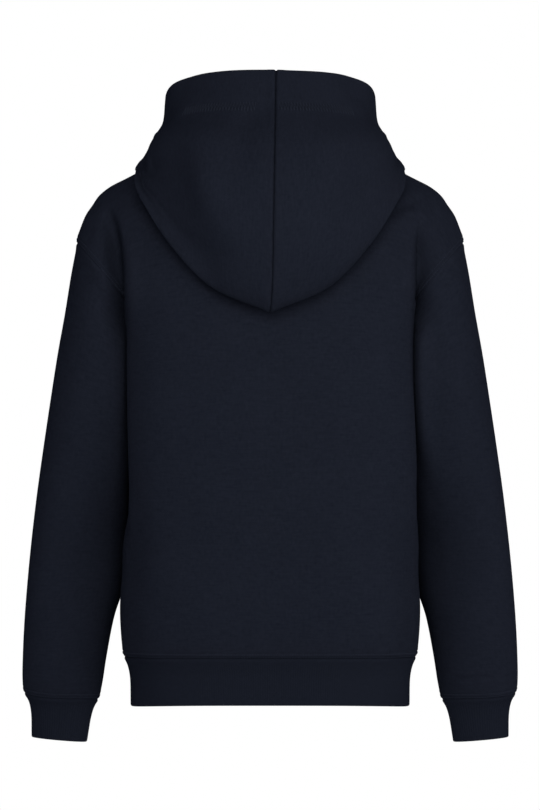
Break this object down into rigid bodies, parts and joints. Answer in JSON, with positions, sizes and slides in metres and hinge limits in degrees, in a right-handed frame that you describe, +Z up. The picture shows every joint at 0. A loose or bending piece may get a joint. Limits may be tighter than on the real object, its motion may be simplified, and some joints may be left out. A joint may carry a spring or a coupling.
{
  "type": "hooded sweatshirt",
  "caption": "Child's pullover hooded sweatshirt in brushed fleece, filled out as worn with no wearer, hood lying down behind, with ribbed hem band and cuffs.",
  "frame": {"origin": "middle of the neck base, level with the shoulder high points, where the wearer's shoulders carry it", "axes": "+Z up along the wearer, the front faces -Y, the wearer's left is +X"},
  "size_m": [0.5124, 0.2452, 0.6874],
  "materials": {
    "fleece": "matt brushed fleece, navy",
    "rib": "matt rib knit, navy"
  },
  "bodies": {
    "root": {"back_panel": "fleece", "front_panel": "fleece", "sleeve_left": "fleece", "sleeve_right": "fleece", "hood_left": "fleece", "hood_right": "fleece", "hem_band": "rib", "cuff_left": "rib", "cuff_right": "rib"}
  },
  "joints": []
}
